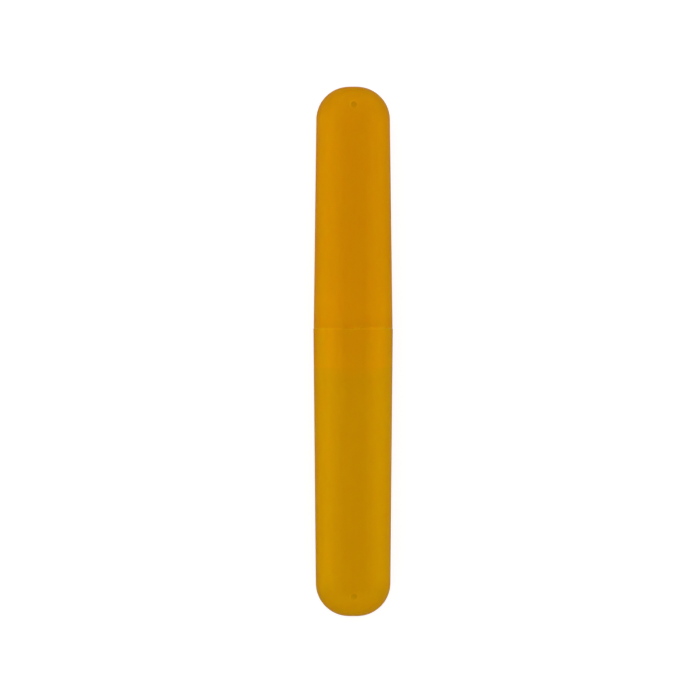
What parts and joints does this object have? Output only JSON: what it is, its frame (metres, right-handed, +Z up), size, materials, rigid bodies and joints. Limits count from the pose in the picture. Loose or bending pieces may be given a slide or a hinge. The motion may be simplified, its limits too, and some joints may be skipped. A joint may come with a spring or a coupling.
{
  "type": "toothbrush case",
  "caption": "Slim oval travel case for a toothbrush, with a pull-off cap whose spigot slides into the body and a small vent near each rounded end.",
  "frame": {"origin": "on the surface that the case lies on, under the middle of its length and width", "axes": "+Y along the case from the body to the cap, +Z up out of the front face with the vents, +X to the right seen from the front with the cap up"},
  "size_m": [0.03, 0.2, 0.022],
  "materials": {
    "body_plastic": "satin",
    "cap_plastic": "satin"
  },
  "bodies": {
    "body": {"case_body": "body_plastic"},
    "cap": {"case_cap": "cap_plastic"}
  },
  "joints": [
    {"name": "cap_pull", "type": "slide", "parent": "body", "child": "cap", "axis": [0, 1, 0], "range_m": [0, 0.06]}
  ]
}
